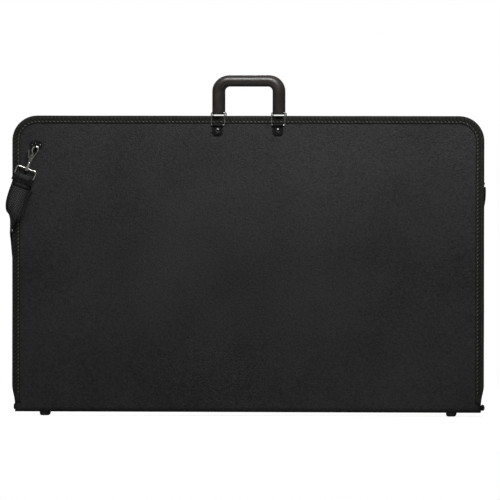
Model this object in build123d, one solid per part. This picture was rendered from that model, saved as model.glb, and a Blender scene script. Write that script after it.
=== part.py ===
from build123d import *
import os
from math import cos, pi, radians, sin

# Portfolio case standing on its spine. Millimetres, +Z up, front towards -Y.
# The origin is below the middle of the spine, on the plane the feet stand on.

# Driving dimensions
panel_width = 950.0
panel_top = 606.0
panel_thickness = 2.0
corner_radius = 45.0
case_depth = 50.0
foot_height = 8.0
foot_radius = 10.5
foot_x = 415.0
foot_y = 12.0
binding_proud = 6.0
binding_reach = 15.0
binding_bottom = 40.0
gusset_drop = 3.2
zip_bottom = 48.0
handle_span = 123.0
handle_radius = 11.75
handle_bend = 21.5
leg_bottom = 614.4
handle_top = 695.0
ring_width = 27.0
ring_height = 25.6
ring_wire = 1.15
ring_corner = 2.5
ring_shift = 1.0
handle_shift = 1.0
tab_width = 21.4
tab_bottom = 573.0
rivet_z = 582.4
strap_width = 38.0
strap_thickness = 2.0
hook_lean = 21.0
hook_x = -446.2
hook_z = 514.7
hook_wire = 1.6
eye_wire = 1.35
slider_x = 30.0
pull_length = 34.0

half_width = panel_width / 2
face_y = case_depth / 2
inner_y = face_y - panel_thickness
spine_top = foot_height + panel_thickness
free_gap = 0.3
tab_thickness = 1.8
ring_bore = ring_wire + free_gap
ring_y = -(face_y + tab_thickness + ring_bore)
ring_z = leg_bottom + 4.2 - ring_height
strap_y = -(face_y + 6.0)
anchor_arm = 1.5

os.makedirs("parts", exist_ok=True)
nodes = {}


def front_plane(y):
    """A plane facing the front: its x is +X, its y is +Z, and it extrudes towards -Y."""
    return Plane(origin=(0, y, 0), x_dir=(1, 0, 0), z_dir=(0, -1, 0))


def turned(shape):
    """The same shape on the back cover, half a turn about the vertical axis."""
    return Rot(0, 0, 180) * shape


def add_pair(name, shape):
    nodes["front_" + name] = shape
    nodes["back_" + name] = turned(shape)


def rod(radius, start, end):
    """A round bar from one point to another."""
    line = Line(start, end)
    return extrude(Plane(origin=start, z_dir=line % 0) * Circle(radius), line.length)


def wire_along(path, radius):
    """A round wire that follows a path."""
    return sweep(Plane(origin=path @ 0, z_dir=path % 0) * Circle(radius), path=path)


def y_rod(radius, x, z, y_low, y_high):
    return rod(radius, (x, y_low, z), (x, y_high, z))


def edge_strip(profile, bottom):
    """Sweeps a profile of (outward, depth) points round the left, top and right edges.

    Outward is counted from the panel's outline, and depth forwards from the middle plane.
    """
    path = FilletPolyline(
        (-half_width, 0, bottom),
        (-half_width, 0, panel_top),
        (half_width, 0, panel_top),
        (half_width, 0, bottom),
        radius=corner_radius,
    )
    start = Plane(origin=path @ 0, x_dir=(-1, 0, 0), z_dir=(0, 0, 1))
    return sweep(start * profile, path=path)


# Spine
spine_half = inner_y - 0.8
spine_panel = Box(panel_width, 2 * spine_half, panel_thickness)
spine_panel = Pos(0, 0, foot_height + panel_thickness / 2) * spine_panel
board_width = 38.0
board_thickness = 2.5
spine_board = Box(panel_width - 20, board_width, board_thickness)
spine_board = Pos(0, 0, spine_top + board_thickness / 2) * spine_board

foot_places = [(x, y) for x in (-foot_x, foot_x) for y in (-foot_y, foot_y)]
board_top = spine_top + board_thickness
shank = 2.0
hole = shank + 0.05


def revolved(points, x, y):
    """Turns a closed outline of (radius, height) points about a vertical axis."""
    profile = Plane.XZ * Polygon(*points, align=None)
    return Pos(x, y, 0) * revolve(profile, Axis.Z)


foot_outline = [
    (hole, 3.6), (4.6, 3.6), (4.6, 0.0), (7.0, 0.0), (9.0, 1.1), (10.1, 2.9),
    (foot_radius, 5.2), (foot_radius, foot_height), (hole, foot_height),
]
rivet_outline = [
    (0, 1.6), (4.2, 1.6), (4.2, 3.5), (shank, 3.5), (shank, board_top + 1.0),
    (3.6, board_top + 1.0), (3.0, board_top + 2.4), (0, board_top + 2.4),
]
washer_outline = [
    (hole, board_top), (7.0, board_top), (7.0, board_top + 1.0), (hole, board_top + 1.0),
]
feet = [revolved(foot_outline, x, y) for x, y in foot_places]
foot_rivets = [revolved(rivet_outline, x, y) for x, y in foot_places]
foot_washers = [revolved(washer_outline, x, y) for x, y in foot_places]
for x, y in foot_places:
    drill = Pos(x, y, foot_height + 3) * Cylinder(hole, 12)
    spine_panel -= drill
    spine_board -= drill
nodes["spine_panel"] = spine_panel
nodes["spine_board"] = spine_board
nodes["spine_feet"] = Compound(children=feet)
nodes["foot_rivets"] = Compound(children=foot_rivets)
nodes["foot_washers"] = Compound(children=foot_washers)

# Fabric tabs that close the two ends of the spine and hold the ends of the zip.
end_tab = Pos(half_width + 4, 0, 18) * Box(8, 30, 14)
end_tab = fillet(end_tab.edges().filter_by(Axis.Y).group_by(Axis.X)[-1], 3.0)
end_tab += Pos(half_width - 4, 0, 14) * Box(8, 30, 3)
nodes["spine_end_tabs"] = Compound(children=[end_tab, turned(end_tab)])

# Fabric hinge strips in the two bottom corners, clear of the covers as they swing.
strip_face = -(inner_y - 0.6)
hinge_strip = Pos(0, strip_face + 0.4, 21) * Box(panel_width - 24, 0.8, 22)
hinge_strip += Pos(0, strip_face + 1.6, spine_top + 0.4) * Box(panel_width - 24, 1.6, 0.8)
add_pair("hinge_strip", hinge_strip)

# Covers
outline_height = panel_top - foot_height
sheet = Pos(0, foot_height + outline_height / 2) * Rectangle(panel_width, outline_height)
sheet = fillet(sheet.vertices().group_by(Axis.Y)[-1], corner_radius)
panel = extrude(front_plane(-inner_y) * sheet, panel_thickness)

stiffener = extrude(
    front_plane(-inner_y + 1.5) * Pos(0, rivet_z - 1.4) * RectangleRounded(200, 30, 4), 1.5
)
tab_x = handle_span / 2
tab_front = face_y + 2 * tab_thickness
tab_side = Polygon(
    (-face_y, tab_bottom), (-face_y, ring_z), (ring_y - ring_bore - tab_thickness, ring_z),
    (-tab_front, ring_z - 4.4), (-tab_front, tab_bottom), align=None,
)
fold = Pos(ring_y, ring_z) * Circle(ring_bore + tab_thickness)
tab_section = Plane.YZ * (tab_side + fold)
bore_face = Plane.YZ * (Pos(ring_y, ring_z) * Circle(ring_bore))
tab = extrude(tab_section, tab_width / 2, both=True)
tab -= extrude(bore_face, tab_width, both=True)
tab_height = 40.0
tab_shape = Pos(0, tab_bottom + tab_height / 2) * Rectangle(tab_width, tab_height)
tab_shape = fillet(tab_shape.vertices().group_by(Axis.Y)[0], 7.5)
tab &= extrude(front_plane(0) * tab_shape, case_depth)
rivet_head = tab_front + 3.0
washer_face = inner_y - 2.5

tabs = []
rivets = []
washers = []
for x in (-tab_x, tab_x):
    drill = y_rod(hole, x, rivet_z, -case_depth, 0)
    tabs.append(Pos(x, 0, 0) * tab - drill)
    panel -= drill
    stiffener -= drill
    dome = Pos(x, -tab_front, rivet_z) * Sphere(7.2)
    dome = Pos(0, 4.2, 0) * dome
    head = dome & (Pos(x, -tab_front - 5, rivet_z) * Box(20, 10, 20))
    rivet = head + y_rod(shank, x, rivet_z, -tab_front - 0.5, -washer_face + 1.0)
    rivet += y_rod(3.4, x, rivet_z, -washer_face, -washer_face + 1.4)
    rivets.append(rivet)
    washers.append(y_rod(6.5, x, rivet_z, -washer_face - 1.0, -washer_face) - drill)

# Anchor for the strap hook: a small riveted plate with a loop that stands upright.
lean = radians(hook_lean)


def hook_point(across, along, y=strap_y):
    """A point given across and along the leaning hook, in the row's own frame."""
    x = hook_x + across * cos(lean) + along * sin(lean)
    z = hook_z - across * sin(lean) + along * cos(lean)
    return (x, y, z)


hook_plane = Plane(
    origin=(hook_x, strap_y, hook_z),
    x_dir=(cos(lean), 0, -sin(lean)),
    z_dir=(0, -1, 0),
)
nose_radius = 5.5
nose_left = -3.5
nose_right = nose_left + 2 * nose_radius
nose_top = 37.0
loop_rise = 12.0
rest = hook_point(nose_left + nose_radius, nose_top - hook_wire - anchor_arm - 0.5)
anchor_x, anchor_low = rest[0], rest[2]
anchor_mid = anchor_low + loop_rise / 2
plate_y = -(face_y + 1.5)
plate = Pos(anchor_x, anchor_mid) * RectangleRounded(25, 19, 7)
anchor = extrude(front_plane(-face_y) * plate, 1.5)
loop_path = FilletPolyline(
    (anchor_x, plate_y + 0.5, anchor_low),
    (anchor_x, strap_y - 6.0, anchor_low),
    (anchor_x, strap_y - 6.0, anchor_low + loop_rise),
    (anchor_x, plate_y + 0.5, anchor_low + loop_rise),
    radius=4.0,
)
anchor += wire_along(loop_path, anchor_arm)
anchor_rivets = []
small_shank = 1.5
for x in (anchor_x - 7.8, anchor_x + 7.8):
    drill = y_rod(small_shank + 0.05, x, anchor_mid, -case_depth, 0)
    anchor -= drill
    panel -= drill
    rivet = y_rod(2.9, x, anchor_mid, plate_y - 1.3, plate_y)
    rivet = fillet(rivet.edges().group_by(Axis.Y)[0], 0.9)
    rivet += y_rod(small_shank, x, anchor_mid, plate_y - 0.5, -inner_y + 0.5)
    rivet += y_rod(2.9, x, anchor_mid, -inner_y, -inner_y + 1.1)
    anchor_rivets.append(rivet)

add_pair("panel", panel)
add_pair("handle_stiffener", stiffener)
add_pair("handle_tabs", Compound(children=tabs))
add_pair("tab_rivets", Compound(children=rivets))
add_pair("tab_washers", Compound(children=washers))
add_pair("strap_anchor", anchor)
add_pair("anchor_rivets", Compound(children=anchor_rivets))

# Edge binding, gusset and zip, all swept round the same three edges.
fold_in = -1.8
binding = Polygon(
    (binding_proud, face_y + 0.4), (binding_proud - 1, face_y + 1.4),
    (-binding_reach + binding_proud, face_y + 1.4), (-binding_reach + binding_proud, face_y),
    (0.2, face_y), (0.2, inner_y - 0.4), (fold_in, inner_y - 0.4), (fold_in, inner_y - 2),
    (binding_proud - 1, inner_y - 2), (binding_proud, inner_y - 1), align=None,
)
gusset = Polygon(
    (-9, inner_y), (-gusset_drop, inner_y), (-gusset_drop + 0.9, 15), (-gusset_drop - 0.2, 7),
    (-gusset_drop - 1.4, 7), (-gusset_drop - 0.3, 15), (-gusset_drop - 1.2, inner_y - 0.8),
    (-9, inner_y - 0.8), align=None,
)
tape_top = -gusset_drop - 1.4
zip_tape = Polygon(
    (tape_top, 10), (tape_top, 1.6), (tape_top - 0.6, 1.6), (tape_top - 0.6, 10), align=None
)
coil_radius = 0.9
coil_place = (tape_top + coil_radius, 0.6 + coil_radius)
add_pair("binding", edge_strip(binding, binding_bottom))
add_pair("gusset", edge_strip(gusset, binding_bottom))
add_pair("zip_tape", edge_strip(zip_tape, binding_bottom))
add_pair("zip_coil", edge_strip(Pos(*coil_place) * Circle(coil_radius), zip_bottom))
stops = []
for side in (-1, 1):
    x = side * (half_width + tape_top + 1.0)
    stops.append(Pos(x, 1.8, zip_bottom - 4) * Box(2, 2.4, 5))
nodes["zip_stops"] = Compound(children=stops)

pocket_top = 400.0
pocket_bottom = 40.0
pocket_middle = (pocket_top + pocket_bottom) / 2
pocket_sheet = Pos(0, pocket_middle) * RectangleRounded(840, pocket_top - pocket_bottom, 12)
nodes["inner_pocket"] = turned(extrude(front_plane(-inner_y + 1.2) * pocket_sheet, 1.2))

# Handle rings and handles
ring_outline = Pos(0, ring_z + ring_height / 2) * Rectangle(ring_width, ring_height)
ring_outline = fillet(ring_outline.vertices(), ring_corner)
ring_path = (front_plane(ring_y) * ring_outline).wire()
ring = wire_along(ring_path, ring_wire)

# The rings and handles hang a little towards +X, as far as their play allows.
for name, x in (("ring_left", -tab_x), ("ring_right", tab_x)):
    nodes["front_" + name] = Pos(x + ring_shift, 0, 0) * ring
    nodes["back_" + name] = turned(Pos(x - ring_shift, 0, 0) * ring)

grip_z = handle_top - handle_radius
handle_path = FilletPolyline(
    (-tab_x, ring_y, leg_bottom), (-tab_x, ring_y, grip_z),
    (tab_x, ring_y, grip_z), (tab_x, ring_y, leg_bottom), radius=handle_bend,
)
handle = wire_along(handle_path, handle_radius)
handle = chamfer(handle.edges().group_by(Axis.Z)[0], 1.2)
bar_z = ring_z + ring_height
handle -= rod(ring_bore, (-handle_span, ring_y, bar_z), (handle_span, ring_y, bar_z))
nodes["front_handle"] = Pos(handle_shift, 0, 0) * handle
nodes["back_handle"] = turned(Pos(-handle_shift, 0, 0) * handle)

# Zip sliders with their pulls. Each slider straddles both coils on a thin neck.
coil_z = panel_top + coil_place[0]
plate_size = (22, 8.4, 1.2)
plate_lift = coil_radius + 0.5 + plate_size[2] / 2
low_plate_z = panel_top + tape_top - 1.6 - plate_size[2] / 2
pin_x = 6.0
pin_z = coil_z + plate_lift + 2.2
pull_thickness = 1.4
slider = Pos(0, 0, coil_z + plate_lift) * Box(*plate_size)
slider = fillet(slider.edges().filter_by(Axis.Z), 2.5)
slider += Pos(0, 0, low_plate_z) * Box(*plate_size)
neck_height = coil_z + plate_lift - low_plate_z
slider += Pos(0, 0, low_plate_z + neck_height / 2) * Box(12, 0.7, neck_height)
for y in (-3.0, 3.0):
    slider += Pos(pin_x, y, pin_z - 0.65) * Box(4.4, 0.8, 3.5)
slider += y_rod(0.7, pin_x, pin_z, -3.2, 3.2)

pull_sketch = Pos(pin_x, 0) * Circle(1.3)
pull_sketch += Pos(pin_x + 5, 0) * Rectangle(10, 4.2)
pull_sketch += Pos(pin_x + 9 + (pull_length - 11) / 2, 0) * RectangleRounded(pull_length - 11, 8.6, 3)
pull_sketch -= Pos(pin_x + pull_length - 7, 0) * Circle(2.2)
pull = extrude(Plane.XY.offset(pin_z - pull_thickness / 2) * pull_sketch, pull_thickness)
pull &= Pos(pin_x + 20, 0, pin_z) * Box(60, 12, pull_thickness)
pull += y_rod(1.2, pin_x, pin_z, -2.1, 2.1)
pull -= y_rod(0.78, pin_x, pin_z, -4, 4)
nodes["zip_slider_right"] = Pos(slider_x, 0, 0) * slider
nodes["zip_slider_left"] = turned(nodes["zip_slider_right"])
nodes["zip_pull_right"] = Pos(slider_x, 0, 0) * pull
nodes["zip_pull_left"] = turned(nodes["zip_pull_right"])

# Snap hook: a swivel stem, a body with a slot for the gate, and a nose over the anchor.
nose = wire_along(
    hook_plane * FilletPolyline(
        (0, 18), (0, 21), (nose_left, 26), (nose_left, nose_top), (nose_right, nose_top),
        (nose_right, 28.7), radius=(1.7, 1.7, nose_radius - 0.01, nose_radius - 0.01),
    ),
    hook_wire,
)
body_sketch = Polygon(
    (-3.4, 3), (3.4, 3), (4.2, 7), (4.2, 14.5), (1.7, 19), (1.7, 23), (-1.7, 23), (-1.7, 19),
    (-3.4, 14.5), align=None,
)
cheek = 2.4
slot = 1.1
hook_body = extrude(hook_plane * body_sketch, cheek, both=True)
slot_sketch = Pos(0.4, 13) * Rectangle(12, 12)
hook_body -= extrude(hook_plane * slot_sketch, slot, both=True)
stem_low = -14.4
hook_body += rod(1.5, hook_point(0, stem_low - 1), hook_point(0, 4))
hook_body += rod(2.9, hook_point(0, stem_low - 2), hook_point(0, stem_low))
hook_body += Pos(*hook_point(0, 0.3)) * Sphere(3.4)
hook_body += nose

pivot = (2.3, 12.0)
pivot_x, pivot_y, pivot_z = hook_point(*pivot)
pin_radius = 0.9
hook_body -= y_rod(pin_radius + 0.02, pivot_x, pivot_z, strap_y - 4, strap_y + 4)
gate_pin = y_rod(pin_radius, pivot_x, pivot_z, strap_y - cheek - 0.4, strap_y + cheek + 0.4)


def bar_between(start, end, half):
    """A flat bar with round ends between two points of the hook's plane."""
    ends = Pos(*start) * Circle(half) + Pos(*end) * Circle(half)
    return ends + make_hull(ends.edges())


gate_sketch = bar_between(pivot, (nose_right, 26.2), 1.2)
gate_sketch += bar_between(pivot, (-5.2, 11.4), 1.3)
gate_sketch += bar_between((-5.2, 11.4), (-10.0, 24.8), 1.2)
gate_sketch += Pos(*pivot) * Circle(2.3)
gate = extrude(hook_plane * gate_sketch, 0.8, both=True)
gate -= y_rod(pin_radius + 0.06, pivot_x, pivot_z, strap_y - 4, strap_y + 4)

# The webbing loop that the hook's stem turns in.
eye_top = -11.6
eye_bar = -29.0
eye_half = strap_width / 2 + 0.3 + eye_wire
eye_middle = (eye_top + eye_bar) / 2
eye_outline = Pos(0, eye_middle) * Rectangle(2 * eye_half, eye_top - eye_bar)
eye_outline = fillet(eye_outline.vertices().group_by(Axis.Y)[-1], 4.0)
eye_outline = fillet(eye_outline.vertices().group_by(Axis.Y)[0], 2.2)
eye = wire_along((hook_plane * eye_outline).wire(), eye_wire)
eye += rod(3.6, hook_point(0, -14.0), hook_point(0, -3.8))
eye -= rod(1.8, hook_point(0, -15.0), hook_point(0, -2.8))
add_pair("hook", hook_body)
add_pair("hook_gate", gate)
add_pair("gate_pin", gate_pin)
add_pair("strap_eye", eye)

# Strap. Its end folds round the eye's bar, and the two layers run on through the slide.
fold_end = -52.0
fold_outer = eye_wire + 0.4 + strap_thickness
fold_plane = Plane(
    origin=hook_point(0, 0), x_dir=(0, 1, 0), z_dir=(cos(lean), 0, -sin(lean))
)
fold_sketch = Pos(0, eye_bar) * Circle(fold_outer)
fold_sketch += Pos(0, (eye_bar + fold_end) / 2) * Rectangle(4.4, eye_bar - fold_end)
fold_sketch -= Pos(0, eye_bar) * Circle(eye_wire + 0.4)
fold_solid = extrude(fold_plane * fold_sketch, strap_width / 2, both=True)
nodes["strap_front_fold"] = fold_solid
nodes["strap_back_fold"] = turned(fold_solid)

slide_at = -38.0
slide_plane = Plane(
    origin=hook_point(0, slide_at),
    x_dir=(cos(lean), 0, -sin(lean)),
    z_dir=(sin(lean), 0, cos(lean)),
)
slide_sketch = RectangleRounded(45, 9.0, 1.8) - RectangleRounded(39, 5.2, 0.8)
nodes["strap_slide"] = extrude(slide_plane * slide_sketch, 4.5, both=True)

# The free strap, as a centre and the direction of the webbing's width at each station.
# It leaves the front fold, turns on edge beside the left edge, and hangs behind the case.
up = (sin(lean), 0, cos(lean))
strap_end = hook_point(0, fold_end)
route = [
    (strap_end, (cos(lean), 0, -sin(lean))),
    ((-473.2, -33.5, 443.0), (0.93, -0.12, -0.36)),
    ((-478.0, -35.5, 421.0), (0.84, -0.40, -0.38)),
    ((-481.5, -33.0, 402.0), (0.45, -0.85, -0.28)),
    ((-486.0, -17.0, 384.0), (0.03, -1.0, -0.15)),
    ((-485.0, 6.0, 362.0), (0.0, -1.0, -0.10)),
    ((-484.5, 28.0, 340.0), (0.0, -1.0, -0.06)),
    ((-484.0, 47.0, 318.0), (0.0, -1.0, 0.0)),
    ((-466.0, 50.0, 297.0), (0.0, -1.0, 0.0)),
    ((-425.0, 50.0, 273.0), (0.0, -1.0, 0.0)),
    ((-350.0, 50.0, 243.0), (0.0, -1.0, 0.0)),
    ((-250.0, 50.0, 210.0), (0.0, -1.0, 0.0)),
    ((-130.0, 50.0, 178.0), (0.0, -1.0, 0.0)),
    ((0.0, 50.0, 165.0), (0.0, -1.0, 0.0)),
    ((150.0, 50.0, 178.0), (0.0, -1.0, 0.0)),
    ((285.0, 50.0, 224.0), (0.0, -1.0, 0.0)),
    ((378.0, 50.0, 282.0), (0.0, -1.0, 0.0)),
    ((432.0, 50.0, 342.0), (0.10, -0.98, 0.0)),
    ((458.0, 46.5, 400.0), (0.50, -0.84, 0.0)),
    ((466.0, 37.5, 438.0), (0.86, -0.36, 0.20)),
    ((-strap_end[0], -strap_end[1], strap_end[2]), (cos(lean), 0, sin(lean))),
]
split_at = 4
split = 0.2


def station_plane(index):
    """The plane across the strap at a station, with its x along the webbing's width."""
    centre, across = route[index]
    if index == 0:
        ahead = Vector(-up[0], 0, -up[2])
    elif index == len(route) - 1:
        ahead = Vector(-up[0], 0, up[2])
    else:
        ahead = (Vector(*route[index + 1][0]) - Vector(*route[index - 1][0])).normalized()
    side = Vector(*across)
    side = (side - ahead * side.dot(ahead)).normalized()
    return Plane(origin=centre, x_dir=side, z_dir=ahead)


def ribbon(first, last, start_gap=0.0, end_gap=0.0):
    """A flat band from one station to another, ruled from each one to the next."""
    planes = [station_plane(i) for i in range(first, last + 1)]
    planes[0] = planes[0].offset(start_gap)
    planes[-1] = planes[-1].offset(-end_gap)
    return loft([plane * Rectangle(strap_width, strap_thickness) for plane in planes], ruled=True)


nodes["strap_front_run"] = ribbon(0, split_at, end_gap=split)
nodes["strap_back_run"] = ribbon(split_at, len(route) - 1, start_gap=split)

for name, shape in nodes.items():
    export_step(shape, f"parts/{name}.step")

centres = [Vector(*centre) for centre, _ in route]
loose = sum((b - a).length for a, b in zip(centres, centres[1:]))
around_bar = pi * fold_outer + 2 * (eye_bar - fold_end)
print(f"{len(nodes)} nodes, strap {loose:.0f} mm free and {2 * around_bar:.0f} mm in its folds")
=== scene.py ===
from math import cos, pi, radians, sin, sqrt

import bmesh
import bpy
from mathutils import Matrix, Vector


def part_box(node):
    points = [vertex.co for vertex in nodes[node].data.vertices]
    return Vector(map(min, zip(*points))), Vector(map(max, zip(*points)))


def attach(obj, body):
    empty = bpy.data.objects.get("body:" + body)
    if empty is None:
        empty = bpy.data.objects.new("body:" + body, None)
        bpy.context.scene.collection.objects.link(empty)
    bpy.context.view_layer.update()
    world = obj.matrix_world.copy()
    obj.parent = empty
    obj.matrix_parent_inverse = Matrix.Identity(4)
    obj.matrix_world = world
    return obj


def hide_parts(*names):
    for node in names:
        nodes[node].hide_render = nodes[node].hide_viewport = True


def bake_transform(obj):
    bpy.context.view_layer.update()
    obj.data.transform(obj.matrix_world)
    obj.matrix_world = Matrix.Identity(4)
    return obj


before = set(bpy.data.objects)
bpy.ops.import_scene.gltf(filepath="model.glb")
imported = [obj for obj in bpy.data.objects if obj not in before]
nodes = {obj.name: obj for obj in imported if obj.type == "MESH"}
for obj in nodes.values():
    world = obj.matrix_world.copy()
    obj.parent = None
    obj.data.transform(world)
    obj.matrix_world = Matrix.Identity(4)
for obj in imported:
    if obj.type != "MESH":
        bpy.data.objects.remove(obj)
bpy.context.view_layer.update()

scene = bpy.context.scene

viewPoint = {"azimuth": 3.0, "elevation": 1.0, "roll": 0.08, "distance": 16.0,
             "lookX": 0.0050, "lookZ": 0.3386, "width": 1.0188, "sensor": 36, "farthest": 60}


def makeCamera(v):
    az, el, roll = radians(v["azimuth"]), radians(v["elevation"]), radians(v["roll"])
    ahead = Vector((-sin(az) * cos(el), cos(az) * cos(el), -sin(el)))
    right = Vector((cos(az), sin(az), 0))
    up = right.cross(ahead)
    across = right * cos(roll) + up * sin(roll)
    upright = up * cos(roll) - right * sin(roll)
    target = Vector((v["lookX"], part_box("front_panel")[0].y, v["lookZ"]))
    turn = Matrix((across, upright, -ahead)).transposed().to_4x4()
    camera = bpy.data.objects.new("caseCamera", bpy.data.cameras.new("caseCamera"))
    camera.matrix_world = Matrix.Translation(target - ahead * v["distance"]) @ turn
    camera.data.sensor_width = v["sensor"]
    camera.data.lens = v["sensor"] * v["distance"] / v["width"]
    camera.data.clip_end = v["farthest"]
    scene.collection.objects.link(camera)
    scene.camera = camera


makeCamera(viewPoint)
print("camera ready")


# Material graphs

def addNode(tree, kind, settings=None, inputs=None, out=0):
    made = tree.nodes.new(kind)
    for key, value in (settings or {}).items():
        setattr(made, key, value)
    for key, value in (inputs or {}).items():
        if isinstance(value, bpy.types.NodeSocket):
            tree.links.new(value, made.inputs[key])
        else:
            made.inputs[key].default_value = value
    return made.outputs[out]


def calc(tree, operation, a, b=0.0):
    return addNode(tree, "ShaderNodeMath", {"operation": operation}, {0: a, 1: b})


def weighted(tree, *parts):
    # The sum of several values, each times its own weight.
    total = None
    for value, weight in parts:
        share = calc(tree, "MULTIPLY", value, weight)
        total = share if total is None else calc(tree, "ADD", total, share)
    return total


def stripes(tree, value, pitch):
    return calc(tree, "SINE", calc(tree, "MULTIPLY", value, 2 * pi / pitch))


def noise(tree, where, scale, detail, roughness=0.55):
    return addNode(tree, "ShaderNodeTexNoise", {}, {
        "Vector": where, "Scale": scale, "Detail": detail, "Roughness": roughness})


def spread(tree, value, low, high, toLow, toHigh):
    return addNode(tree, "ShaderNodeMapRange", {}, {
        "Value": value, "From Min": low, "From Max": high, "To Min": toLow, "To Max": toHigh})


def blendColours(tree, factor, one, two):
    made = tree.nodes.new("ShaderNodeMix")
    made.data_type = "RGBA"
    for key, value in ((0, factor), (6, one), (7, two)):
        if isinstance(value, bpy.types.NodeSocket):
            tree.links.new(value, made.inputs[key])
        else:
            made.inputs[key].default_value = value if key == 0 else (*value, 1.0)
    return made.outputs[2]


def startMaterial(name, fixed):
    material = bpy.data.materials.new(name)
    material.use_nodes = True
    tree = material.node_tree
    shader = tree.nodes["Principled BSDF"]
    for key, value in fixed.items():
        shader.inputs[key].default_value = value
    return material, tree, shader


def finishMaterial(tree, shader, colour, roughness, height, strength, reach):
    tree.links.new(colour, shader.inputs["Base Color"])
    if roughness is not None:
        tree.links.new(roughness, shader.inputs["Roughness"])
    bump = addNode(tree, "ShaderNodeBump", {}, {
        "Height": height, "Strength": strength, "Distance": reach})
    tree.links.new(bump, shader.inputs["Normal"])


def objectPlace(tree):
    return addNode(tree, "ShaderNodeTexCoord", out=3)


def clothPlace(tree):
    # The cloth's own length and width, in metres.
    split = tree.nodes.new("ShaderNodeSeparateXYZ")
    tree.links.new(addNode(tree, "ShaderNodeTexCoord", out=2), split.inputs[0])
    return split.outputs[0], split.outputs[1]


sheetGrain = {"smoothness": 0.6, "fineScale": 2.6, "pebbleLift": 1.4, "fineLift": 0.4,
              "patchShade": 0.75, "broadShade": 0.25, "depth": 0.0006}


def grainedSheet(name, dark, light, look):
    g = sheetGrain
    material, tree, shader = startMaterial(name, {"Specular IOR Level": look["gloss"]})
    place = objectPlace(tree)
    pebbles = addNode(tree, "ShaderNodeTexVoronoi", {"feature": "SMOOTH_F1"}, {
        "Vector": place, "Scale": look["pebbles"], "Smoothness": g["smoothness"]})
    fine = noise(tree, place, look["pebbles"] * g["fineScale"], 2.0)
    patch = noise(tree, place, look["patches"], 5.0, 0.65)
    broad = noise(tree, place, look["broad"], 2.0)
    height = weighted(tree, (pebbles, g["pebbleLift"]), (fine, g["fineLift"]), (patch, look["patchLift"]))
    mixture = calc(tree, "ADD", spread(tree, patch, 0.3, 0.7, 0.0, g["patchShade"]),
                   spread(tree, broad, 0.35, 0.65, 0.0, g["broadShade"]))
    colour = blendColours(tree, mixture, dark, light)
    roughness = spread(tree, patch, 0.25, 0.75, look["rough"] - 0.07, look["rough"] + 0.09)
    finishMaterial(tree, shader, colour, roughness, height, look["bump"], g["depth"])
    return material


weave = {"fuzz": 700.0, "worn": 26.0, "weaveLift": 0.35, "fuzzLift": 0.5, "weaveShade": 0.7,
         "wornShade": 0.35, "depth": 0.0004}


def wovenCloth(name, dark, light, look):
    # A plain weave that follows the piece's own length and width.
    w = weave
    material, tree, shader = startMaterial(name, {
        "Specular IOR Level": look["gloss"], "Sheen Weight": look["sheen"],
        "Sheen Roughness": 0.5, "Roughness": 0.8})
    along, across = clothPlace(tree)
    warp = stripes(tree, across, look["pitch"])
    weft = stripes(tree, along, look["pitch"])
    threads = calc(tree, "MULTIPLY", warp, weft)
    ribs = stripes(tree, across, look["rib"])
    place = objectPlace(tree)
    fuzz = noise(tree, place, w["fuzz"], 3.0)
    worn = noise(tree, place, w["worn"], 4.0)
    height = weighted(tree, (threads, w["weaveLift"]), (ribs, look["ribLift"]), (fuzz, w["fuzzLift"]))
    factor = calc(tree, "ADD", spread(tree, height, -0.6, 1.1, 0.0, w["weaveShade"]),
                  spread(tree, worn, 0.35, 0.65, 0.0, w["wornShade"]))
    colour = blendColours(tree, factor, dark, light)
    finishMaterial(tree, shader, colour, None, height, look["bump"], w["depth"])
    return material


# The webbing's slanted ribs change direction at every column. Painted shade darkens the strip towards both
# edges.
webbingWeave = {"column": 0.0063, "slant": 1.2, "pitch": 0.0046, "middle": 0.019, "edgeShadeBand": 0.012,
                "hem": 0.002, "fuzz": 900.0, "ribLift": 0.55, "fuzzLift": 0.5, "ribShade": 0.8,
                "fuzzShade": 0.25, "paintedEdgeShade": 0.55, "depth": 0.0008}


def herringbone(name, dark, light):
    w = webbingWeave
    material, tree, shader = startMaterial(name, {
        "Specular IOR Level": 0.22, "Sheen Weight": 0.03, "Sheen Roughness": 0.45, "Roughness": 0.66})
    along, across = clothPlace(tree)
    column = calc(tree, "PINGPONG", across, w["column"])
    slanted = calc(tree, "ADD", along, calc(tree, "MULTIPLY", column, w["slant"]))
    rib = stripes(tree, slanted, w["pitch"])
    fuzz = noise(tree, objectPlace(tree), w["fuzz"], 3.0)
    edge = calc(tree, "ABSOLUTE", calc(tree, "SUBTRACT", across, w["middle"]))
    # Painted shade: the colour darkens across the strap towards each edge.
    edgeShadeBand = spread(tree, edge, w["middle"] - w["edgeShadeBand"], w["middle"] - w["hem"], 0.0, 1.0)
    height = weighted(tree, (rib, w["ribLift"]), (fuzz, w["fuzzLift"]))
    factor = calc(tree, "ADD", spread(tree, rib, -0.3, 0.7, 0.0, w["ribShade"]),
                  calc(tree, "MULTIPLY", fuzz, w["fuzzShade"]))
    factor = calc(tree, "SUBTRACT", factor, calc(tree, "MULTIPLY", edgeShadeBand, w["paintedEdgeShade"]))
    finishMaterial(tree, shader, blendColours(tree, factor, dark, light), None, height, 1.0, w["depth"])
    return material


metalSkin = {"stretch": 0.12, "scratches": 2600.0, "uneven": 0.12, "scratchRough": 0.08,
             "bump": 0.12, "depth": 0.0001}


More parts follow.
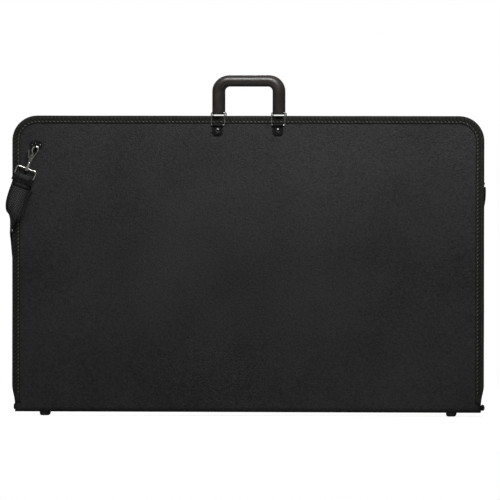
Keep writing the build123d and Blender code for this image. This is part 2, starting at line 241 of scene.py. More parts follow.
def plainMetal(name, dark, light, tarnish, rough):
    m = metalSkin
    material, tree, shader = startMaterial(name, {"Metallic": 1.0, "Specular IOR Level": 0.5})
    place = objectPlace(tree)
    cloud = noise(tree, place, tarnish, 5.0, 0.6)
    stretched = addNode(tree, "ShaderNodeMapping", {}, {"Vector": place, "Scale": (1.0, 1.0, m["stretch"])})
    scratches = noise(tree, stretched, m["scratches"], 2.0)
    factor = spread(tree, cloud, 0.35, 0.65, 0.0, 1.0)
    roughness = calc(tree, "ADD", spread(tree, cloud, 0.3, 0.7, rough, rough + m["uneven"]),
                     calc(tree, "MULTIPLY", scratches, m["scratchRough"]))
    colour = blendColours(tree, factor, dark, light)
    finishMaterial(tree, shader, colour, roughness, scratches, m["bump"], m["depth"])
    return material


def enamel(name, base, worn, look):
    # Enamel over metal, with a few small rubbed places.
    material, tree, shader = startMaterial(name, {
        "Specular IOR Level": 0.5, "Coat Weight": 0.2, "Coat Roughness": 0.2})
    patch = noise(tree, objectPlace(tree), look["chips"], 3.0)
    rubbed = spread(tree, patch, look["from"], look["to"], 0.0, 1.0)
    tree.links.new(rubbed, shader.inputs["Metallic"])
    roughness = spread(tree, patch, 0.3, 0.7, look["rough"], look["rough"] + look["uneven"])
    colour = blendColours(tree, rubbed, base, worn)
    finishMaterial(tree, shader, colour, roughness, patch, look["bump"], look["depth"])
    return material


mouldedSkin = {"skin": 900.0, "patches": 45.0, "depth": 0.0003}


def moulded(name, dark, light, gloss, rough, bump):
    material, tree, shader = startMaterial(name, {"Specular IOR Level": gloss})
    place = objectPlace(tree)
    skin = noise(tree, place, mouldedSkin["skin"], 3.0)
    patch = noise(tree, place, mouldedSkin["patches"], 4.0)
    factor = spread(tree, patch, 0.35, 0.65, 0.0, 1.0)
    roughness = spread(tree, patch, 0.3, 0.7, rough - 0.05, rough + 0.07)
    colour = blendColours(tree, factor, dark, light)
    finishMaterial(tree, shader, colour, roughness, skin, bump, mouldedSkin["depth"])
    return material


finish = {
    "sheet": grainedSheet("pebbleSheet", (0.0040, 0.0038, 0.0044), (0.0345, 0.0325, 0.0350),
                          {"pebbles": 560.0, "patches": 260.0, "broad": 5.0, "patchLift": 1.3,
                           "rough": 0.50, "gloss": 0.24, "bump": 0.75}),
    "vinyl": grainedSheet("tabVinyl", (0.003, 0.003, 0.0033), (0.008, 0.0078, 0.008),
                          {"pebbles": 1400.0, "patches": 300.0, "broad": 30.0, "patchLift": 0.5,
                           "rough": 0.50, "gloss": 0.10, "bump": 0.35}),
    "binding": wovenCloth("bindingTape", (0.0035, 0.0035, 0.0031), (0.017, 0.0168, 0.0145),
                          {"pitch": 0.0011, "rib": 0.0024, "ribLift": 0.4,
                           "gloss": 0.2, "sheen": 0.15, "bump": 0.7}),
    "gusset": wovenCloth("gussetNylon", (0.010, 0.010, 0.0105), (0.024, 0.024, 0.025),
                         {"pitch": 0.0009, "rib": 0.0009, "ribLift": 0.1,
                          "gloss": 0.3, "sheen": 0.1, "bump": 0.5}),
    "tape": wovenCloth("zipTape", (0.009, 0.009, 0.0095), (0.022, 0.022, 0.023),
                       {"pitch": 0.0008, "rib": 0.0016, "ribLift": 0.35,
                        "gloss": 0.2, "sheen": 0.1, "bump": 0.6}),
    "pocket": wovenCloth("pocketNylon", (0.011, 0.0115, 0.013), (0.028, 0.029, 0.032),
                         {"pitch": 0.0012, "rib": 0.0012, "ribLift": 0.1,
                          "gloss": 0.3, "sheen": 0.1, "bump": 0.5}),
    "webbing": herringbone("strapWebbing", (0.0012, 0.0012, 0.0014), (0.062, 0.062, 0.064)),
    # A darker copy of the webbing: painted shade, used on the strap's spare end.
    "webbingInShade": herringbone("shadedWebbing", (0.002, 0.002, 0.002), (0.012, 0.012, 0.013)),
    "board": moulded("denseBoard", (0.20, 0.16, 0.11), (0.27, 0.22, 0.16), gloss=0.2, rough=0.85, bump=0.5),
    "strip": moulded("smoothStrip", (0.02, 0.02, 0.021), (0.032, 0.031, 0.03),
                     gloss=0.35, rough=0.5, bump=0.2),
    "handle": moulded("satinHandle", (0.016, 0.0135, 0.012), (0.027, 0.023, 0.0205),
                      gloss=0.50, rough=0.34, bump=0.25),
    "foot": moulded("footPlastic", (0.014, 0.014, 0.015), (0.024, 0.023, 0.024),
                    gloss=0.45, rough=0.42, bump=0.3),
    "coil": moulded("coilNylon", (0.012, 0.012, 0.0125), (0.022, 0.022, 0.023),
                    gloss=0.5, rough=0.32, bump=0.1),
    "lightThread": moulded("lightThread", (0.085, 0.083, 0.068), (0.15, 0.147, 0.12),
                           gloss=0.3, rough=0.6, bump=0.6),
    # Painted highlight: the dim dashed row that stands in for the light line along the binding's outer edge.
    "paintedHighlightThread": moulded("paintedHighlightThread", (0.035, 0.034, 0.028), (0.065, 0.063, 0.052),
                         gloss=0.3, rough=0.6, bump=0.6),
    # Dark thread for whip stitches and seams, also used as painted shade on the strip beside the binding.
    "darkThreadAndShade": moulded("darkThreadAndShade", (0.0025, 0.0025, 0.0025), (0.006, 0.006, 0.006),
                          gloss=0.2, rough=0.7, bump=0.6),
    "nickel": plainMetal("brightNickel", (0.58, 0.56, 0.52), (0.92, 0.90, 0.86), tarnish=260.0, rough=0.13),
    "ring": plainMetal("ringNickel", (0.40, 0.39, 0.37), (0.66, 0.65, 0.62), tarnish=220.0, rough=0.20),
    "rivet": plainMetal("darkNickel", (0.05, 0.047, 0.045), (0.16, 0.155, 0.15), tarnish=380.0, rough=0.14),
    "steel": plainMetal("zincSteel", (0.42, 0.42, 0.43), (0.55, 0.55, 0.56), tarnish=120.0, rough=0.34),
    "enamel": enamel("blackEnamel", (0.0035, 0.0035, 0.004), (0.42, 0.41, 0.39),
                     {"chips": 420.0, "from": 0.66, "to": 0.70,
                      "rough": 0.24, "uneven": 0.14, "bump": 0.08, "depth": 0.0002}),
}
print("finishes ready")


# Mesh tools

def addMesh(name, points, faces, material, uvs):
    mesh = bpy.data.meshes.new(name)
    mesh.from_pydata([tuple(p) for p in points], [], faces)
    layer = mesh.uv_layers.new(name="UVMap")
    for loop in mesh.loops:
        layer.data[loop.index].uv = uvs[loop.vertex_index]
    work = bmesh.new()
    work.from_mesh(mesh)
    bmesh.ops.recalc_face_normals(work, faces=work.faces)
    work.to_mesh(mesh)
    work.free()
    for polygon in mesh.polygons:
        polygon.use_smooth = True
    mesh.materials.append(material)
    made = bpy.data.objects.new(name, mesh)
    scene.collection.objects.link(made)
    return made


def tubeFaces(rings, count):
    # Joins rings of points into a tube, closed at both ends.
    faces = []
    for i in range(rings - 1):
        for j in range(count):
            k = (j + 1) % count
            faces.append((i * count + j, i * count + k, (i + 1) * count + k, (i + 1) * count + j))
    faces.append(tuple(range(count)))
    faces.append(tuple(range((rings - 1) * count, rings * count)))
    return faces


def slabFaces(columns, rows):
    # Joins two layers of a grid of points. The faces of the rim round them come last.
    layerSize = (rows + 1) * (columns + 1)
    faces = []
    for layer in (0, 1):
        for j in range(rows):
            for i in range(columns):
                a = layer * layerSize + j * (columns + 1) + i
                faces.append((a, a + 1, a + columns + 2, a + columns + 1))
    rim = [j * (columns + 1) for j in range(rows + 1)]
    rim += [rows * (columns + 1) + i for i in range(1, columns + 1)]
    rim += [j * (columns + 1) + columns for j in range(rows - 1, -1, -1)]
    rim += [i for i in range(columns - 1, 0, -1)]
    for a, b in zip(rim, rim[1:] + rim[:1]):
        faces.append((a, b, b + layerSize, a + layerSize))
    return faces


def sweepSection(name, frames, section, material, wave=None):
    points, uvs = [], []
    lengths = [0.0]
    for a, b in zip(section, section[1:]):
        lengths.append(lengths[-1] + sqrt((b[0] - a[0]) ** 2 + (b[1] - a[1]) ** 2))
    travelled = 0.0
    for i, (place, outward, depth) in enumerate(frames):
        if i:
            travelled += (place - frames[i - 1][0]).length
        for j, (out, back) in enumerate(section):
            shift = wave(travelled, j) if wave else (0.0, 0.0)
            points.append(place + outward * (out + shift[0]) + depth * (back + shift[1]))
            uvs.append((travelled, lengths[j]))
    return addMesh(name, points, tubeFaces(len(frames), len(section)), material, uvs)


def roundedSection(corners, radius, steps=3, most=0.45):
    # Rounds each corner of a closed outline, using up at most a share of the sides beside it.
    out = []
    count = len(corners)
    for i, corner in enumerate(corners):
        here = Vector(corner)
        before = Vector(corners[i - 1]) - here
        after = Vector(corners[(i + 1) % count]) - here
        cut = min(radius, before.length * most, after.length * most)
        start, end = here + before.normalized() * cut, here + after.normalized() * cut
        for s in range(steps + 1):
            t = s / steps
            out.append(tuple(start * (1 - t) ** 2 + here * 2 * t * (1 - t) + end * t ** 2))
    return out


panelLow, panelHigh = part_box("front_panel")
edge = {"left": panelLow.x, "right": panelHigh.x, "top": panelHigh.z,
        "corner": 0.045, "step": 0.006, "fineStep": 0.004, "cornerSteps": 14}


def edgeFrames(side, bottom, step=edge["step"]):
    # Places round the left, top and right edges, each with its outward and depth directions.
    radius = edge["corner"]
    low, high, top = edge["left"], edge["right"], edge["top"]
    depth = Vector((0, side, 0))
    frames = []

    def line(a, b, outward):
        n = max(2, round((b - a).length / step))
        for s in range(n):
            frames.append((a.lerp(b, s / n), outward, depth))

    def arc(centre, first):
        for s in range(edge["cornerSteps"]):
            angle = first - s / edge["cornerSteps"] * pi / 2
            outward = Vector((cos(angle), 0, sin(angle)))
            frames.append((centre + outward * radius, outward, depth))

    line(Vector((low, 0, bottom)), Vector((low, 0, top - radius)), Vector((-1, 0, 0)))
    arc(Vector((low + radius, 0, top - radius)), pi)
    line(Vector((low + radius, 0, top)), Vector((high - radius, 0, top)), Vector((0, 0, 1)))
    arc(Vector((high - radius, 0, top - radius)), pi / 2)
    line(Vector((high, 0, top - radius)), Vector((high, 0, bottom)), Vector((1, 0, 0)))
    frames.append((Vector((high, 0, bottom)), Vector((1, 0, 0)), depth))
    return frames


rippleWaves = ((23.0, 1.0, 0.45), (51.0, 2.3, 0.35), (113.0, 4.1, 0.20))  # rate, shift and share of each


def ripple(distance, seed, size):
    # A slow, uneven wander, the same in every run.
    return size * sum(sin(distance * rate + seed * shift) * share for rate, shift, share in rippleWaves)


covers = {"front": -1, "back": 1}
faceDepth = panelHigh.y - panelLow.y
outer = -panelLow.y
inner = outer - faceDepth


# Panels, with a slight bow so that they take the light as a real sheet does

panelShape = {"bow": 0.0022, "fullness": 0.8, "uneven": 0.25, "waveAlong": 5.1, "waveUp": 3.3,
              "waveShift": 1.7, "columns": 96, "rows": 60}


def makePanel(coverName, side):
    p = panelShape
    low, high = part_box(coverName + "_panel")
    radius = edge["corner"]
    columns, rows = p["columns"], p["rows"]
    points, uvs = [], []
    for depth in (inner, outer):
        for j in range(rows + 1):
            v = j / rows
            z = low.z + (high.z - low.z) * v
            inset = 0.0
            if z > high.z - radius:
                drop = z - (high.z - radius)
                inset = radius - sqrt(max(radius ** 2 - drop ** 2, 0.0))
            for i in range(columns + 1):
                u = i / columns
                x = low.x + inset + (high.x - low.x - 2 * inset) * u
                rise = sin(pi * u) ** p["fullness"] * sin(pi * v) * p["bow"]
                swing = sin(p["waveAlong"] * u + p["waveShift"] * side) * cos(p["waveUp"] * v)
                rise *= 1 - p["uneven"] + p["uneven"] * swing
                points.append((x, side * (depth + rise), z))
                uvs.append((x, z))
    made = addMesh(coverName + "Panel", points, slabFaces(columns, rows), finish["sheet"], uvs)
    for polygon in made.data.polygons[-2 * (columns + rows):]:
        polygon.use_smooth = False  # the cut edge
    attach(made, coverName + "_cover")
    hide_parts(coverName + "_panel")


for coverName, side in covers.items():
    makePanel(coverName, side)
print("panels ready")


# Edge binding with its stitches

bindingShape = {"proud": 0.006, "reach": 0.009, "lip": 0.0014, "inside": 0.0018, "under": 0.0019,
                "shoulder": 0.0012, "ease": 0.001, "seat": 0.0004, "clear": 0.0003, "lift": 0.0001,
                "rear": 0.0006, "hem": 0.86, "round": 0.0007, "bottom": 0.026, "taper": 0.035,
                "plainProud": 0.0006, "wander": 0.0003, "outerShare": 0.4, "faceWander": 0.00015,
                "faceStart": 0.0005, "seed": 1.3, "faceSeed": 4.0}


def makeBinding(coverName, side):
    b = bindingShape
    section = roundedSection([
        (b["proud"], outer - b["seat"]), (b["proud"] - b["shoulder"], outer + b["lip"]),
        (b["ease"] - b["reach"], outer + b["lip"] * b["hem"]), (-b["reach"], outer + b["lift"]),
        (b["clear"], outer), (b["clear"], inner - b["seat"]), (-b["inside"], inner - b["seat"]),
        (-b["inside"], inner - b["under"]), (b["proud"] - b["ease"], inner - b["under"]),
        (b["proud"], inner - b["rear"])], b["round"], 2)
    frames = edgeFrames(side, b["bottom"])
    total = sum((q[0] - p[0]).length for p, q in zip(frames, frames[1:]))

    def wave(distance, j):
        # Draws the proud edge in near its two lower ends, and lets the tape wander a little.
        out, depth = section[j]
        fade = min(1.0, min(distance, total - distance) / b["taper"])
        fade = fade * fade * (3 - 2 * fade)
        shrink = (b["proud"] - b["plainProud"]) * (1 - fade) if out > b["ease"] else 0.0
        share = 1.0 if out < -b["reach"] / 2 else b["outerShare"]
        onFace = depth > outer + b["faceStart"]
        return (ripple(distance, b["seed"] + side, b["wander"]) * share - shrink,
                ripple(distance, b["faceSeed"] + side, b["faceWander"]) if onFace else 0.0)

    made = sweepSection(coverName + "Binding", frames, section, finish["binding"], wave)
    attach(made, coverName + "_cover")
    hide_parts(coverName + "_binding")


shadeStripShape = {"under": 0.0003, "top": 0.0009, "crown": 0.0013, "slope": 0.0006,
               "width": 0.0016, "round": 0.0004}


def makeShadeStrip(coverName, side):
    # A narrow rolled strip where the tape meets the sheet, dark all over: painted shade for the shadow line
    # along the tape's inner edge.
    p = shadeStripShape
    reach = bindingShape["reach"]
    section = roundedSection([(p["under"] - reach, outer), (p["under"] - reach, outer + p["top"]),
                              (-reach - p["crown"], outer + p["slope"]), (-reach - p["width"], outer)],
                             p["round"], 2)
    frames = edgeFrames(side, bindingShape["bottom"])
    made = sweepSection(coverName + "ShadeStrip", frames, section, finish["darkThreadAndShade"])
    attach(made, coverName + "_cover")


def curveAlong(name, points):
    curve = bpy.data.curves.new(name, "CURVE")
    curve.dimensions = "3D"
    spline = curve.splines.new("POLY")
    spline.points.add(len(points) - 1)
    for p, q in zip(spline.points, points):
        p.co = (*q, 1.0)
    made = bpy.data.objects.new(name, curve)
    scene.collection.objects.link(made)
    return made


bead = {"radius": 0.5, "subdivisions": 2}  # one unit across, so that Length, Width and Height size it


def repeatTree(name):
    # Repeats one small rounded piece along a curve, turned along it and tilted about the depth axis.
    tree = bpy.data.node_groups.new(name, "GeometryNodeTree")
    face = tree.interface
    face.new_socket("Geometry", in_out="INPUT", socket_type="NodeSocketGeometry")
    for label, start in (("Pitch", 0.0076), ("Length", 0.004), ("Width", 0.001), ("Height", 0.001),
                         ("Tilt", 0.0), ("Unevenness", 0.1)):
        made = face.new_socket(label, in_out="INPUT", socket_type="NodeSocketFloat")
        made.default_value = start
    face.new_socket("Finish", in_out="INPUT", socket_type="NodeSocketMaterial")
    face.new_socket("Seed", in_out="INPUT", socket_type="NodeSocketInt")
    face.new_socket("Geometry", in_out="OUTPUT", socket_type="NodeSocketGeometry")
    group = tree.nodes.new("NodeGroupInput")
    inputs = {s.name: s for s in group.outputs}
    places = tree.nodes.new("GeometryNodeCurveToPoints")
    places.mode = "LENGTH"
    tree.links.new(inputs["Geometry"], places.inputs["Curve"])
    tree.links.new(inputs["Pitch"], places.inputs["Length"])
    tangent = places.outputs["Tangent"]
    aligned = addNode(tree, "FunctionNodeAlignRotationToVector", {"axis": "X"}, {"Vector": tangent})
    aligned = addNode(tree, "FunctionNodeAlignRotationToVector", {"axis": "Y", "pivot_axis": "X"},
                      {"Rotation": aligned, "Vector": (0.0, 1.0, 0.0)})
    tilt = addNode(tree, "ShaderNodeCombineXYZ", {}, {"Y": inputs["Tilt"]})
    tilt = addNode(tree, "FunctionNodeEulerToRotation", {}, {0: tilt})
    turned = addNode(tree, "FunctionNodeRotateRotation", {"rotation_space": "LOCAL"}, {0: aligned, 1: tilt})
    size = addNode(tree, "ShaderNodeCombineXYZ", {}, {
        "X": inputs["Length"], "Y": inputs["Width"], "Z": inputs["Height"]})
    low = calc(tree, "SUBTRACT", 1.0, inputs["Unevenness"])
    high = calc(tree, "ADD", 1.0, inputs["Unevenness"])
    random = tree.nodes.new("FunctionNodeRandomValue")
    random.data_type = "FLOAT"
    tree.links.new(low, random.inputs[2])
    tree.links.new(high, random.inputs[3])
    tree.links.new(inputs["Seed"], random.inputs["Seed"])
    scaled = tree.nodes.new("ShaderNodeVectorMath")
    scaled.operation = "SCALE"
    tree.links.new(size, scaled.inputs[0])
    tree.links.new(random.outputs[1], scaled.inputs["Scale"])
    piece = tree.nodes.new("GeometryNodeMeshIcoSphere")
    piece.inputs["Radius"].default_value = bead["radius"]
    piece.inputs["Subdivisions"].default_value = bead["subdivisions"]
    onPoints = tree.nodes.new("GeometryNodeInstanceOnPoints")
    tree.links.new(places.outputs["Points"], onPoints.inputs["Points"])
    tree.links.new(piece.outputs["Mesh"], onPoints.inputs["Instance"])
    tree.links.new(turned, onPoints.inputs["Rotation"])
    tree.links.new(scaled.outputs[0], onPoints.inputs["Scale"])
    smooth = addNode(tree, "GeometryNodeSetShadeSmooth", {}, {"Geometry": onPoints.outputs[0]})
    real = addNode(tree, "GeometryNodeRealizeInstances", {}, {"Geometry": smooth})
    done = addNode(tree, "GeometryNodeSetMaterial", {}, {"Geometry": real, "Material": inputs["Finish"]})
    end = tree.nodes.new("NodeGroupOutput")
    tree.links.new(done, end.inputs[0])
    return tree


repeater = repeatTree("repeatAlong")


def repeatAlong(name, points, settings, material, body, seed):
    carrier = curveAlong(name + "Line", points)
    modifier = carrier.modifiers.new("repeat", "NODES")
    modifier.node_group = repeater
    wanted = dict(settings, Finish=material, Seed=seed)
    for item in repeater.interface.items_tree:
        if item.in_out == "INPUT" and item.name in wanted:
            modifier[item.identifier] = wanted[item.name]
    bpy.context.view_layer.update()
    baked = bpy.data.meshes.new_from_object(carrier.evaluated_get(bpy.context.evaluated_depsgraph_get()))
    bpy.data.objects.remove(carrier)
    baked.name = name
    made = bpy.data.objects.new(name, baked)
    scene.collection.objects.link(made)
    if not baked.materials:
        baked.materials.append(material)
    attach(made, body)
    return made


# The light row shows on the face, the dim row near the outer edge is painted highlight for the light line
# along the binding's rounded edge, and the whip goes over that edge.
stitches = {
    "row": {"Pitch": 0.0076, "Length": 0.0044, "Width": 0.0012, "Height": 0.0014,
            "Tilt": 0.35, "Unevenness": 0.16},
    "edge": {"Pitch": 0.0076, "Length": 0.0048, "Width": 0.0010, "Height": 0.0011,
             "Tilt": 0.35, "Unevenness": 0.20},
    "whip": {"Pitch": 0.0076, "Length": 0.0120, "Width": 0.0010, "Height": 0.0026,
             "Tilt": 0.95, "Unevenness": 0.10},
    "thread": {"row": "lightThread", "edge": "paintedHighlightThread", "whip": "darkThreadAndShade"},
    "inset": {"row": -0.0062, "edge": 0.0022, "whip": -0.0010},
    "sunk": {"row": 0.0, "edge": 0.0, "whip": 0.0001},
    "bottom": 0.048, "seed": 3,
}


def makeStitches(coverName, side):
    frames = edgeFrames(side, stitches["bottom"], edge["fineStep"])
    for kind, thread in stitches["thread"].items():
        height = outer + bindingShape["lip"] - stitches["sunk"][kind]
        points = [p + o * stitches["inset"][kind] + d * height for p, o, d in frames]
        repeatAlong(coverName + kind.capitalize() + "Stitches", points, stitches[kind], finish[thread],
                    coverName + "_cover", stitches["seed"] + side)


for coverName, side in covers.items():
    makeBinding(coverName, side)
    makeShadeStrip(coverName, side)
    makeStitches(coverName, side)
print("bindings ready")


# Gusset, zip tapes and coils between the covers

gussetShape = {"drop": 0.0032, "thick": 0.0011, "end": 0.007, "bottom": 0.026, "bulge": 0.0012, "steps": 9,
               "arch": 0.0010, "fall": 0.0003, "seat": 0.0001, "root": 0.009, "ply": 0.0008, "seed": 7.0}


def makeGusset(coverName, side):
    g = gussetShape
    steps = g["steps"]
    outside = []
    for s in range(steps + 1):
        t = s / steps
        outside.append((-g["drop"] + sin(pi * t) * g["arch"] - t * g["fall"],
                        (inner - g["seat"]) * (1 - t) + g["end"] * t))
    inside = [(o - g["thick"], d) for o, d in reversed(outside)]
    section = outside + inside + [(-g["root"], inner - g["ply"]), (-g["root"], inner - g["seat"])]

    def wave(distance, j):
        # The cloth bulges most halfway between the panel and the zip.
        across = min(j, 2 * steps + 1 - j) / steps if j <= 2 * steps + 1 else 0.0
        return (sin(pi * across) * ripple(distance, g["seed"] + side, g["bulge"]), 0.0)

    made = sweepSection(coverName + "Gusset", edgeFrames(side, g["bottom"]), section, finish["gusset"], wave)
    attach(made, coverName + "_cover")
    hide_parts(coverName + "_gusset")


zipTape = {"under": 0.0014, "thick": 0.0006, "far": 0.0100, "near": 0.0012, "round": 0.0002,
           "bottom": 0.034, "seamDepths": {"Outer": 0.0082, "Inner": 0.0093}, "seamLift": 0.0001,
           "seamBottom": 0.044, "seed": 11}
tapeSeam = {"Pitch": 0.0032, "Length": 0.0024, "Width": 0.0005, "Height": 0.0006,
            "Tilt": 0.0, "Unevenness": 0.08}


def makeZipTape(coverName, side):
    t = zipTape
    top = -gussetShape["drop"] - t["under"]
    low = top - t["thick"]
    corners = [(top, t["far"]), (top, t["near"]), (low, t["near"]), (low, t["far"])]
    section = roundedSection(corners, t["round"], 1)
    made = sweepSection(coverName + "ZipTape", edgeFrames(side, t["bottom"]), section, finish["tape"])
    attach(made, coverName + "_cover")
    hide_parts(coverName + "_zip_tape")
    frames = edgeFrames(side, t["seamBottom"], edge["fineStep"])
    for label, depth in t["seamDepths"].items():
        points = [p + o * (-gussetShape["drop"] - t["seamLift"]) + d * depth for p, o, d in frames]
        repeatAlong(coverName + "Gusset" + label + "Seam", points, tapeSeam, finish["darkThreadAndShade"],
                    coverName + "_cover", t["seed"])


zipTeeth = {"Pitch": 0.00185, "Length": 0.00135, "Width": 0.0019, "Height": 0.0018,
            "Tilt": 0.0, "Unevenness": 0.02}
toothRow = {"lift": 0.0009, "depth": 0.00155, "bottom": 0.0485, "seed": 5}


def makeTeeth(coverName, side):
    top = -gussetShape["drop"] - zipTape["under"] + toothRow["lift"]
    frames = edgeFrames(side, toothRow["bottom"], edge["fineStep"])
    points = [p + o * top + d * toothRow["depth"] for p, o, d in frames]
    made = repeatAlong(coverName + "ZipCoil", points, zipTeeth, finish["coil"],
                       coverName + "_cover", toothRow["seed"])
    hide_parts(coverName + "_zip_coil")


for coverName, side in covers.items():
    makeGusset(coverName, side)
    makeZipTape(coverName, side)
    makeTeeth(coverName, side)
print("gussets and zip ready")


# Strap. The route is the webbing's middle line, and across is the direction of its width.

strap = {"width": 0.038, "thick": 0.0021, "lean": 21.0, "thin": 0.55, "wander": 0.0006,
         "columns": 12, "easing": 7, "resolution": 16, "backStart": 0.07, "seed": 9.0}
lean = radians(strap["lean"])
foldEnd = (-0.4648355, -0.031, 0.4661541)
route = [
    (foldEnd, (cos(lean), 0, -sin(lean))),
    ((-0.4732, -0.0335, 0.4430), (0.93, -0.12, -0.36)),
    ((-0.4780, -0.0355, 0.4210), (0.84, -0.40, -0.38)),
    ((-0.4815, -0.0330, 0.4020), (0.45, -0.85, -0.28)),
    ((-0.4860, -0.0170, 0.3840), (0.03, -1.0, -0.15)),
    ((-0.4850, 0.0060, 0.3620), (0.0, -1.0, -0.10)),
    ((-0.4845, 0.0280, 0.3400), (0.0, -1.0, -0.06)),
    ((-0.4840, 0.0470, 0.3180), (0.0, -1.0, 0.0)),
    ((-0.4660, 0.0500, 0.2970), (0.0, -1.0, 0.0)),
    ((-0.4250, 0.0500, 0.2730), (0.0, -1.0, 0.0)),
    ((-0.3500, 0.0500, 0.2430), (0.0, -1.0, 0.0)),
    ((-0.2500, 0.0500, 0.2100), (0.0, -1.0, 0.0)),
    ((-0.1300, 0.0500, 0.1780), (0.0, -1.0, 0.0)),
    ((0.0, 0.0500, 0.1650), (0.0, -1.0, 0.0)),
    ((0.1500, 0.0500, 0.1780), (0.0, -1.0, 0.0)),
    ((0.2850, 0.0500, 0.2240), (0.0, -1.0, 0.0)),
    ((0.3780, 0.0500, 0.2820), (0.0, -1.0, 0.0)),
    ((0.4320, 0.0500, 0.3420), (0.10, -0.98, 0.0)),
    ((0.4580, 0.0465, 0.4000), (0.50, -0.84, 0.0)),
    ((0.4660, 0.0375, 0.4380), (0.86, -0.36, 0.20)),
    ((-foldEnd[0], -foldEnd[1], foldEnd[2]), (cos(lean), 0, sin(lean))),
]
splitStation = 4


def routeLine(points):
    curve = bpy.data.curves.new("routeLine", "CURVE")
    curve.dimensions = "3D"
    curve.resolution_u = strap["resolution"]
    spline = curve.splines.new("NURBS")
    spline.points.add(len(points) - 1)
    for p, q in zip(spline.points, points):
        p.co = (*q, 1.0)
    spline.order_u = 3
    spline.use_endpoint_u = True
    carrier = bpy.data.objects.new("routeLine", curve)
    scene.collection.objects.link(carrier)
    bpy.context.view_layer.update()
    line = bpy.data.meshes.new_from_object(carrier)
    found = [v.co.copy() for v in line.vertices]
    bpy.data.objects.remove(carrier)
    bpy.data.meshes.remove(line)
    return found


def smoothSides(line):
    # The width direction at each point of the line, from the nearest stations of the route.
    stations = [Vector(p) for p, _ in route]
    marks = []
    start = 0
    for s in stations:
        best = min(range(start, len(line)), key=lambda i: (line[i] - s).length)
        marks.append(best)
        start = best
    marks[0], marks[-1] = 0, len(line) - 1
    sides = []
    for i in range(len(line)):
        k = max(0, min(len(marks) - 2, next((m for m in range(len(marks) - 1) if marks[m + 1] >= i), 0)))
        room = max(1, marks[k + 1] - marks[k])
        t = min(1.0, max(0.0, (i - marks[k]) / room))
        across = Vector(route[k][1]).normalized().lerp(Vector(route[k + 1][1]).normalized(), t)
        sides.append(across)
    eased = []
    for i in range(len(line)):
        near = min(strap["easing"], i, len(line) - 1 - i)
        across = sum((sides[j] for j in range(i - near, i + near + 1)), Vector())
        ahead = (line[min(i + 1, len(line) - 1)] - line[max(i - 1, 0)]).normalized()
        eased.append((across - ahead * across.dot(ahead)).normalized())
    return eased


def ribbon(name, line, sides, material, startAt=0.0):
    # A strip of webbing, thinner towards its selvedges.
    half, thick = strap["width"] / 2, strap["thick"] / 2
    section = []
    for s in range(strap["columns"] + 1):
        t = 2 * s / strap["columns"] - 1
        section.append((t * half, thick * (1 - strap["thin"] * abs(t) ** 6)))
    section += [(a, -b) for a, b in reversed(section)]
    points, uvs = [], []
    travelled = startAt
    for i, (place, side) in enumerate(zip(line, sides)):
        if i:
            travelled += (place - line[i - 1]).length
        ahead = (line[min(i + 1, len(line) - 1)] - line[max(i - 1, 0)]).normalized()
        up = ahead.cross(side).normalized()
        for across, lift in section:
            wander = ripple(travelled, strap["seed"], strap["wander"]) * (across / half) ** 2
            points.append(place + side * across + up * (lift + wander))
            uvs.append((travelled, across + half))
    return addMesh(name, points, tubeFaces(len(line), len(section)), material, uvs)


strapLine = routeLine([p for p, _ in route])
strapSides = smoothSides(strapLine)
splitPlace = Vector(route[splitStation][0])
cut = min(range(len(strapLine)), key=lambda i: (strapLine[i] - splitPlace).length)
frontRun = ribbon("strapFrontRun", strapLine[:cut + 1], strapSides[:cut + 1], finish["webbing"])
backRun = ribbon("strapBackRun", strapLine[cut:], strapSides[cut:], finish["webbing"], strap["backStart"])
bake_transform(frontRun)
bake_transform(backRun)
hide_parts("strap_front_run")
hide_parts("strap_back_run")


tailShape = {"end": 0.404, "shift": 0.0075, "drift": 0.002, "behind": 0.0026}


def makeTail():
    # The strap's spare end lies behind the front run, a little to its right, and stops short. It wears a
    # darker copy of the webbing, painted shade for the dark band beside the front run.
    last = min(range(cut), key=lambda i: abs(strapLine[i].z - tailShape["end"]))
    line = []
    for i in range(last + 1):
        shift = tailShape["shift"] - tailShape["drift"] * i / last
        ahead = (strapLine[min(i + 1, cut)] - strapLine[max(i - 1, 0)]).normalized()
        behind = ahead.cross(strapSides[i]).normalized()
        if behind.y < 0:
            behind = -behind
        line.append(strapLine[i] + strapSides[i] * shift + behind * tailShape["behind"])
    made = ribbon("strapTail", line, strapSides[:last + 1], finish["webbingInShade"])
    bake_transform(made)
    return made


foldShape = {"reach": 0.023, "radius": 0.0028, "gap": 0.0011, "opening": 0.0019, "turns": 8}


def makeFold(coverName, side):
    # The strap's end, folded round the loop's bar and sewn down to itself.
    f = foldShape
    up = Vector((sin(lean), 0, cos(lean)))
    across = Vector((cos(lean), 0, -sin(lean)))
    forward = Vector((0, -1, 0))
    end = Vector(foldEnd)
    bar = end + up * f["reach"]
    leg = [(up * (f["reach"] * t), forward * (f["gap"] + f["opening"] * t)) for t in (0.0, 0.25, 0.5, 0.75)]
    line = [end + rise + proud for rise, proud in leg]
    for s in range(f["turns"] + 1):
        angle = pi * s / f["turns"]
        line.append(bar + forward * f["radius"] * cos(angle) + up * f["radius"] * sin(angle))
    line += [end + rise - proud for rise, proud in reversed(leg)]
    made = ribbon("strap" + coverName.capitalize() + "Fold", line, [across] * len(line), finish["webbing"])
    if side > 0:
        made.data.transform(Matrix.Rotation(pi, 4, "Z"))
    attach(made, coverName + "_cover")
    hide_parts("strap_" + coverName + "_fold")
    return made


folds = [makeFold(coverName, side) for coverName, side in covers.items()] + [makeTail()]


# Hinge strips, end tabs and pocket

hingeShape = {"thick": 0.0009, "clear": 0.0003, "columns": 40, "weaveStep": 0.003, "lift": 0.0001,
              "upright": (0.034, 0.024, 0.017),  # heights on the cover
              "bend": ((0.0009, 0.0133), (0.0026, 0.0113)),  # how far in from the cover, and height
              "flat": (0.0055, 0.0090)}  # how far in from the cover, on the spine


